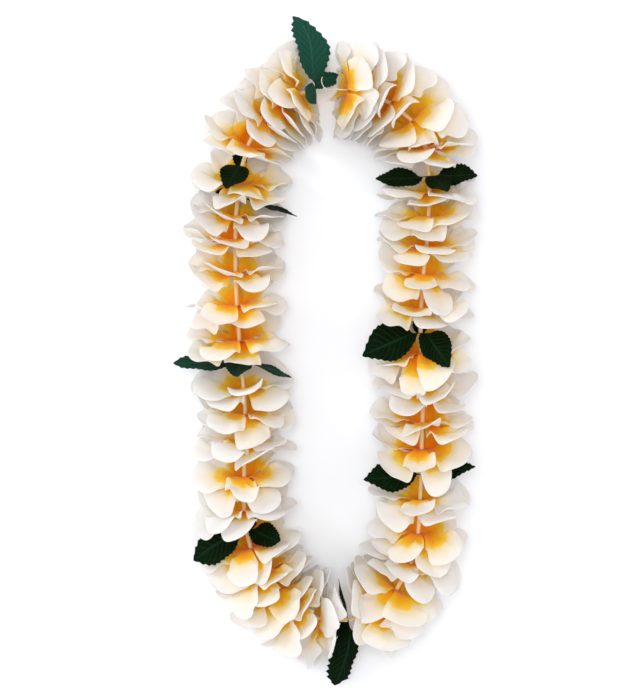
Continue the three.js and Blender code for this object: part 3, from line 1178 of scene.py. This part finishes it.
@dataclass
class Stringing:
    """The thread through every piece, the spacer tubes between them, and the knot."""

    stops: list[tuple[float, float]]
    thread_radius: float = 0.32
    ply_offset: float = 0.26
    twist_mm: float = 3.2
    thread_step: float = 0.7
    tube_radius: float = 1.6
    tube_wall: float = 0.45
    tube_sides: int = 20
    tube_smooth_angle: float = 40.0
    thread_smooth_angle: float = 60.0
    knot_place: float = 485.0
    knot_radius: float = 1.1
    knot_swell: float = 1.15
    knot_points: int = 60
    tail: float = 9.0
    tail_points: int = 12

    def tube_spans(self) -> list[tuple[float, float]]:
        """Finds the gaps between the pieces, all of which but the knot's hold a tube.

        Returns:
            Where each tube starts and ends along the string.
        """
        ordered = sorted(self.stops)
        spans = []
        for index, (place, half) in enumerate(ordered):
            last = index + 1 == len(ordered)
            after, after_half = ordered[(index + 1) % len(ordered)]
            start, end = place + half, after - after_half + (STRAND.length if last else 0)
            if not start < self.knot_place < end:
                spans.append((start, end))
        return spans

    def tubes(self, finish: Material) -> Object:
        """Builds the hollow tubes, one on the middle of each span.

        Args:
            finish: The tubes' plastic.

        Returns:
            All tubes as one piece.
        """
        spans = np.array(self.tube_spans())
        lengths = {"tube_length": (spans[:, 1] - spans[:, 0]) * MM}
        values = {
            "Outer Radius": self.tube_radius * MM, "Wall": self.tube_wall * MM,
            "Sides": self.tube_sides, "Finish": finish,
        }
        piece = self.strung("spacer_tubes", spans.mean(1), [], lengths, tube_tree(), values)
        return self.settled(flattened(piece, self.tube_smooth_angle))

    def thread(self, finish: Material) -> Object:
        """Builds the two-ply twisted thread, which follows the whole loop.

        Args:
            finish: The thread's fibre.

        Returns:
            The finished thread.
        """
        count = int(STRAND.length / self.thread_step)
        along = np.arange(count) * STRAND.length / count
        links = [(index, (index + 1) % count) for index in range(count)]
        turns = round(STRAND.length / self.twist_mm)
        twist = {"twist": 2 * math.pi * turns * along / STRAND.length}
        values = {
            "Ply Radius": self.thread_radius * MM, "Ply Offset": self.ply_offset * MM,
            "Finish": finish,
        }
        piece = self.strung("thread", along, links, twist, thread_tree(), values)
        return self.settled(flattened(piece, self.thread_smooth_angle))

    def settled(self, piece: Object) -> Object:
        """Puts one of the string's pieces in its node's place."""
        return settle_piece(piece, "string_and_tube", "string")

    def strung(
        self, name: str, along: Array, links: Sequence[tuple[int, int]],
        attributes: dict[str, Array], tree: NodeTree, values: dict[str, Any],
    ) -> Object:
        """Starts a piece with a node tree that works on points of the string.

        Args:
            name: The piece's name.
            along: Each point's distance along the string.
            links: The pairs of points that are joined.
            attributes: What the tree reads beside the string's way at each point.
            tree: The node tree.
            values: A value for each of the tree's named inputs.

        Returns:
            The piece with the live tree.
        """
        mesh = bpy.data.meshes.new(name)
        spots = STRAND.point(along, np.zeros_like(along), np.full_like(along, STRAND.height))
        mesh.from_pydata((spots * MM).tolist(), links, [])
        for label, numbers in {"way": STRAND.way(along), **attributes}.items():
            write_attribute(mesh, label, numbers)
        piece = placed(name, mesh)
        modifier = piece.modifiers.new(tree.name, "NODES")
        modifier.node_group = tree
        for item in tree.interface.items_tree:
            if item.in_out == "INPUT" and item.name in values:
                modifier[item.identifier] = values[item.name]
        return piece

    def knot(self, finish: Material) -> Object:
        """Builds the overhand knot and its two tails.

        Args:
            finish: The thread's fibre.

        Returns:
            The finished knot as one piece.
        """
        # A trefoil round the string, and then two tails that bend away to its sides.
        turn = np.linspace(0, 2 * math.pi, self.knot_points + 1)[:-1]
        ring = 1.0 + 0.45 * np.cos(3 * turn)
        loop = np.stack([
            1.15 * ring * np.cos(2 * turn), ring * np.sin(2 * turn), 0.8 * np.sin(3 * turn)
        ], -1) * self.knot_radius
        way = STRAND.way(np.array(self.knot_place))
        side = np.array([way[1], -way[0], 0])
        up = np.array([0, 0, 1])
        centre = STRAND.point(np.array(self.knot_place), 0.0, STRAND.height)
        lines = [(centre + loop @ np.stack([way, side, up]), True)]
        share = np.linspace(0, 1, self.tail_points)[:, None]
        for sign in (-1, 1):
            lines.append((
                centre + sign * 0.6 * side + sign * way * 2.2 * np.sin(2.4 * share)
                + side * sign * self.tail * share + up * (0.8 + 2.2 * share - 3.2 * share**2),
                False,
            ))
        curve = bpy.data.curves.new("knot", "CURVE")
        curve.dimensions = "3D"
        curve.bevel_depth = self.thread_radius * self.knot_swell * MM
        curve.bevel_resolution = 3
        curve.use_fill_caps = True
        curve.materials.append(finish)
        for points, closed in lines:
            spline = curve.splines.new("POLY")
            spline.points.add(len(points) - 1)
            spline.points.foreach_set("co", np.c_[points * MM, np.ones(len(points))].ravel())
            spline.use_cyclic_u = closed
        piece = placed("knot", curve)
        seen = piece.evaluated_get(bpy.context.evaluated_depsgraph_get())
        mesh = bpy.data.meshes.new_from_object(seen)
        bpy.data.objects.remove(piece)
        bpy.data.curves.remove(curve)
        mesh.name = "knot"
        mesh.shade_smooth()
        return self.settled(placed("knot", mesh))


def node_group(name: str, inputs: dict[str, str]) -> tuple[NodeTree, Any]:
    """Starts a geometry node tree with its named inputs.

    Args:
        name: The tree's name.
        inputs: For each input's name, the last part of its socket type.

    Returns:
        The tree, and the sockets that its inputs come from.
    """
    tree = bpy.data.node_groups.new(name, "GeometryNodeTree")
    for label, kind in {"Geometry": "Geometry", **inputs}.items():
        tree.interface.new_socket(label, in_out="INPUT", socket_type=f"NodeSocket{kind}")
    tree.interface.new_socket("Geometry", in_out="OUTPUT", socket_type="NodeSocketGeometry")
    return tree, add_node(tree, "NodeGroupInput").outputs


def close_group(tree: NodeTree, shape: Node, finish: NodeSocket) -> NodeTree:
    """Makes a geometry node tree's result real, dresses it and hands it out.

    Args:
        tree: The tree.
        shape: The node that gives the result.
        finish: The socket that gives its material.

    Returns:
        The same tree.
    """
    real = add_node(tree, "GeometryNodeRealizeInstances", {"Geometry": shape})
    dressed = add_node(tree, "GeometryNodeSetMaterial", {"Geometry": real, "Material": finish})
    add_node(tree, "NodeGroupOutput", {"Geometry": dressed})
    return tree


def tube_tree() -> NodeTree:
    """The node tree that puts a hollow tube on each point, along its way attribute.

    Returns:
        The tree, with inputs for the tube's outer radius, wall, sides and finish.
    """
    tree, given = node_group("spacer tubes", {
        "Outer Radius": "Float", "Wall": "Float", "Sides": "Int", "Finish": "Material",
    })
    add = partial(add_node, tree)
    half = add("ShaderNodeMath", {0: given["Wall"], 1: 0.5}, operation="MULTIPLY")
    middle = add("ShaderNodeMath", {0: given["Outer Radius"], 1: half}, operation="SUBTRACT")
    ring = add(
        "GeometryNodeCurvePrimitiveCircle", {"Resolution": given["Sides"], "Radius": middle}
    )
    wall = add(
        "GeometryNodeCurvePrimitiveQuadrilateral", {"Width": given["Wall"], "Height": 1.0}
    )
    tube = add("GeometryNodeCurveToMesh", {"Curve": ring, "Profile Curve": wall})
    way = add("GeometryNodeInputNamedAttribute", {"Name": "way"}, data_type="FLOAT_VECTOR")
    length = add("GeometryNodeInputNamedAttribute", {"Name": "tube_length"}, data_type="FLOAT")
    scale = add("ShaderNodeCombineXYZ", {"X": 1.0, "Y": 1.0, "Z": length})
    turn = add("FunctionNodeAlignRotationToVector", {"Vector": way}, axis="Z")
    spots = add("GeometryNodeMeshToPoints", {"Mesh": given["Geometry"]})
    tubes = add(
        "GeometryNodeInstanceOnPoints",
        {"Points": spots, "Instance": tube, "Rotation": turn, "Scale": scale},
    )
    return close_group(tree, tubes, given["Finish"])


def thread_tree() -> NodeTree:
    """The node tree that winds two plies round the loop, by its twist and way attributes.

    Returns:
        The tree, with inputs for a ply's radius, its offset from the middle and the finish.
    """
    tree, given = node_group("twisted thread", {
        "Ply Radius": "Float", "Ply Offset": "Float", "Finish": "Material",
    })
    add = partial(add_node, tree)
    twist = add("GeometryNodeInputNamedAttribute", {"Name": "twist"}, data_type="FLOAT")
    way = add("GeometryNodeInputNamedAttribute", {"Name": "way"}, data_type="FLOAT_VECTOR")
    side = add("ShaderNodeVectorMath", {0: way, 1: (0.0, 0.0, 1.0)}, operation="CROSS_PRODUCT")
    profile = add(
        "GeometryNodeCurvePrimitiveCircle", {"Resolution": 6, "Radius": given["Ply Radius"]}
    )
    joined = add("GeometryNodeJoinGeometry")
    for start in (0.0, math.pi):
        angle = add("ShaderNodeMath", {0: twist, 1: start}, operation="ADD")
        sine = add("ShaderNodeMath", {0: angle}, operation="SINE")
        cosine = add("ShaderNodeMath", {0: angle}, operation="COSINE")
        level = add("ShaderNodeVectorMath", {0: side, "Scale": cosine}, operation="SCALE")
        rise = add("ShaderNodeCombineXYZ", {"Z": sine})
        both = add("ShaderNodeVectorMath", {0: level, 1: rise}, operation="ADD")
        shift = add(
            "ShaderNodeVectorMath", {0: both, "Scale": given["Ply Offset"]}, operation="SCALE"
        )
        moved = add(
            "GeometryNodeSetPosition", {"Geometry": given["Geometry"], "Offset": shift}
        )
        path = add("GeometryNodeMeshToCurve", {"Mesh": moved})
        ply = add("GeometryNodeCurveToMesh", {"Curve": path, "Profile Curve": profile})
        tree.links.new(ply.outputs[0], joined.inputs[0])
    return close_group(tree, joined, given["Finish"])


@dataclass
class Studio:
    """The pale table, the soft light and the camera that looks straight down."""

    camera_place: tuple[float, float, float] = (-5.38, 1.25, 1630.0)
    seen_height: float = 532.0
    focus_height: float = 30.0
    sensor: float = 36.0
    camera_reach: float = 20.0
    table_half: float = 3.0
    table_colour: str = "#EBEDF0"
    table_roughness: float = 0.7
    table_shine: float = 0.2
    sky_colour: str = "#FDFDFF"
    sky_strength: float = 0.98
    # Each light's name, place in metres, side in metres, power in watts and colour.
    lights: tuple[tuple[str, tuple[float, float, float], float, float, str], ...] = (
        ("key", (-1.6, 0.8, 1.2), 0.8, 15.0, "#F1FAFF"),
        ("fill", (1.2, -0.9, 1.9), 1.6, 4.5, "#FFF7F5"),
        ("top", (-0.1, 0.1, 1.9), 0.7, 12.0, "#FFFFFF"),
    )

    def camera(self) -> None:
        """Makes the camera, upright, with the frame's long side along Y."""
        lens = bpy.data.cameras.new("camera")
        lens.sensor_width = self.sensor
        distance = self.camera_place[2] - self.focus_height
        lens.lens = self.sensor * distance / self.seen_height
        lens.clip_end = self.camera_reach
        held = placed("camera", lens)
        held.location = [number * MM for number in self.camera_place]
        bpy.context.scene.camera = held

    def table(self) -> None:
        """Makes the table as a plain pale plane."""
        mesh = bpy.data.meshes.new("table")
        half = self.table_half
        corners = [(-half, -half, 0), (half, -half, 0), (half, half, 0), (-half, half, 0)]
        mesh.from_pydata(corners, [], [(0, 1, 2, 3)])
        finish = bpy.data.materials.new("white table laminate")
        finish.use_nodes = True
        shader = finish.node_tree.nodes["Principled BSDF"]
        shader.inputs["Base Color"].default_value = linear(self.table_colour)
        shader.inputs["Roughness"].default_value = self.table_roughness
        shader.inputs["Specular IOR Level"].default_value = self.table_shine
        mesh.materials.append(finish)
        placed("table", mesh)

    def light(self) -> None:
        """Makes the soft square lights, which shine at the lei, and the even sky."""
        for name, place, size, power, colour in self.lights:
            lamp = bpy.data.lights.new(name, "AREA")
            lamp.size, lamp.energy, lamp.color = size, power, linear(colour)[:3]
            held = placed(name, lamp)
            held.location = place
            aim = -held.location
            held.rotation_euler = aim.to_track_quat("-Z", "Y").to_euler()
        world = bpy.data.worlds.new("studio")
        world.use_nodes = True
        sky = world.node_tree.nodes["Background"]
        sky.inputs["Color"].default_value = linear(self.sky_colour)
        sky.inputs["Strength"].default_value = self.sky_strength
        bpy.context.scene.world = world

    def build(self) -> None:
        """Makes the whole studio."""
        self.camera()
        self.table()
        self.light()
        bpy.context.scene.view_settings.view_transform = "Standard"


@dataclass
class Lei:
    """The whole lei: its blooms, leaf pieces and stringing, in the order they are made."""

    table_lean: float = 54.0
    # Each bloom's place, lean, seed and paint, and its lean over the table where that differs.
    left: tuple[tuple[Any, ...], ...] = (
        (19.4, 26, 76, Paint.FAINT, 8), (41, 44, 24, Paint.FULL, 22),
        (59, 46, 17, Paint.YELLOW, 32), (76, 46, 24, Paint.FULL, 40), (98, 60, 36, Paint.DEEP),
        (127, 28, 6, Paint.FAINT), (153, 60, 15, Paint.FULL), (178, 28, 8, Paint.FAINT),
        (201, 46, 58, Paint.YELLOW), (220, 28, 66, Paint.FAINT), (257, 46, 86, Paint.DEEP),
        (284, 46, 12, Paint.FULL), (309, 28, 13, Paint.YELLOW), (333.8, 36, 39, Paint.DEEP),
        (352, 36, 13, Paint.FAINT), (377, 46, 10, Paint.FULL), (406, 28, 17, Paint.DEEP),
        (430, 36, 42, Paint.FAINT, 34), (448, 36, 42, Paint.FULL, 24),
        (464.5, 36, 28, Paint.YELLOW, 14),
    )
    right: tuple[tuple[Any, ...], ...] = (
        (22, 46, 41, Paint.FULL, 10), (44, 60, 113, Paint.YELLOW, 24),
        (66, 36, 43, Paint.FAINT, 36), (90, 60, 142, Paint.FULL), (116, 36, 130, Paint.FAINT),
        (154.5, 60, 141, Paint.DEEP), (175, 28, 145, Paint.FULL), (200, 46, 48, Paint.FAINT),
        (228, 60, 173, Paint.DEEP), (262, 28, 50, Paint.FULL), (288, 60, 172, Paint.FULL),
        (309, 28, 52, Paint.FULL), (332, 46, 194, Paint.YELLOW), (350, 28, 188, Paint.FAINT),
        (384, 36, 55, Paint.FULL), (408, 60, 124, Paint.YELLOW), (429, 36, 124, Paint.FULL, 32),
        (446.5, 36, 124, Paint.FAINT, 22), (463.8, 46, 127, Paint.FULL, 10),
    )

    def blooms(self) -> list[Bloom]:
        """Numbers the blooms of both sides and gives each its lean over the table.

        Returns:
            Every bloom, the left side's first.
        """
        made = []
        for side, rows in ((Side.LEFT, self.left), (Side.RIGHT, self.right)):
            for number, (place, lean, seed, paint, *table_lean) in enumerate(rows, 1):
                held = table_lean[0] if table_lean else self.table_lean
                made.append(Bloom(side, number, place, lean, seed, paint, held))
        return made

    def leaves(self) -> list[LeafPiece]:
        """Lists the leaf pieces, each with its lobes.

        A lobe has its angle, length, half width, roll and curl, and some have a tilt.

        Returns:
            Every leaf piece, from the bottom up the left side, the top, and down the right.
        """
        left, right = Side.LEFT, Side.RIGHT
        return [
            LeafPiece("leaf_bottom", left, -1, 5, (
                (183, 52, 7, 45, 0, -4), (15, 34, 8, 10, 0), (232, 42, 6, 20, 0))),
            LeafPiece("leaf_left_lower", left, 113, 50, (
                (160, 48, 11, 45, -6, -10), (45, 38, 11, -30, 0, -8), (290, 36, 8, 0, 0))),
            # This leaf gets some painted sheen: a lighter teal in its colour, as if it caught the
            # light.
            LeafPiece("leaf_left_middle", left, 242, 40, (
                (172, 52, 10, 10, 0, -4), (20, 44, 10, 20, 0, -28), (95, 32, 12, 0, -10)),
                warmth_and_sheen=0.5),
            LeafPiece("leaf_left_inner", left, 367.2, 45, (
                (355, 48, 9.5, 20, 0, -34), (200, 34, 9, 0, 0))),
            LeafPiece("leaf_left_upper", left, 391, 58, (
                (105, 38, 14, 0, 0), (250, 36, 8, 0, 0))),
            # The top leaf gets the most painted sheen: a lighter teal, as if it caught the light.
            LeafPiece("leaf_top", left, 478, 40, (
                (176, 60, 9, 32, -14, -3), (75, 30, 9, 0, 0), (232, 30, 7, 10, 0)),
                cup=10.0, warmth_and_sheen=0.9),
            LeafPiece("leaf_right_upper", right, 364, 45, (
                (20, 44, 10, -30, 0, 0), (110, 38, 11, 10, 0), (165, 38, 9, 30, 0, -6))),
            LeafPiece("leaf_right_middle", right, 244, 50, (
                (28, 54, 13, -48, 0, -8), (122, 46, 15, 20, 0, -15), (270, 30, 8, 0, 0))),
            LeafPiece("leaf_right_lower", right, 136, 48, (
                (22, 48, 11, -48, 0, -2), (160, 44, 8, 20, 0, 16), (325, 36, 8, 0, 0, -15))),
        ]

    def dress(self) -> None:
        """Builds every piece and puts it in its node's place."""
        petal = [
            PetalFabric(name=f"petal white polyester taffeta, {part}", paint_strength=strength)
            for part, strength in (("airbrushed face", 1.0), ("back", 0.55))
        ]
        # Milky plastic with a painted glow: an amber tint in its colour stands in for the orange
        # light that passes through the tube's wall from the petals.
        tube = PlainFinish(
            name="polyethylene tube, extruded, milky", colour="#FFEFC4", shade="#FFE2A8",
            roughness=0.35, through=0.5, grain_mm=6,
        ).material()
        # Thin nylon: almost white, with a faint shine on each ply.
        fibre = PlainFinish(
            name="nylon thread, two-ply, clear white", colour="#F2EFE8", shade="#DDD8CC",
            roughness=0.5, through=0.25, grain_mm=0.4,
        ).material()
        looks = {
            Bloom: ("petals", "petal_fabric", [finish.material() for finish in petal]),
            LeafPiece: ("lobes", "leaf_fabric", [LeafFabric().material()]),
        }
        blooms, leaves = self.blooms(), self.leaves()
        for side in Side:
            nest = Nest(side)
            threaded = sorted(
                (piece for piece in (*blooms, *leaves) if piece.side is side),
                key=lambda piece: piece.place,
            )
            for piece in threaded:
                layers = piece.layers()
                for layer in layers:
                    nest.rest(layer)
                part, slot, finishes = looks[type(piece)]
                name = f"{piece.name}_{part}"
                made = fabric_object(name, side, piece.fabric, layers, finishes)
                settle_piece(made, slot, piece.name)
        stringing = Stringing([
            (np.mod(piece.side.distance(piece.place), STRAND.length), piece.core_half)
            for piece in (*blooms, *leaves)
        ])
        stringing.tubes(tube)
        stringing.thread(fibre)
        stringing.knot(fibre)


def main() -> None:
    """Builds the studio and the lei."""
    logging.basicConfig(level=logging.INFO, format="%(message)s", stream=sys.stdout)
    Studio().build()
    Lei().dress()


if __name__ == "__main__":
    main()
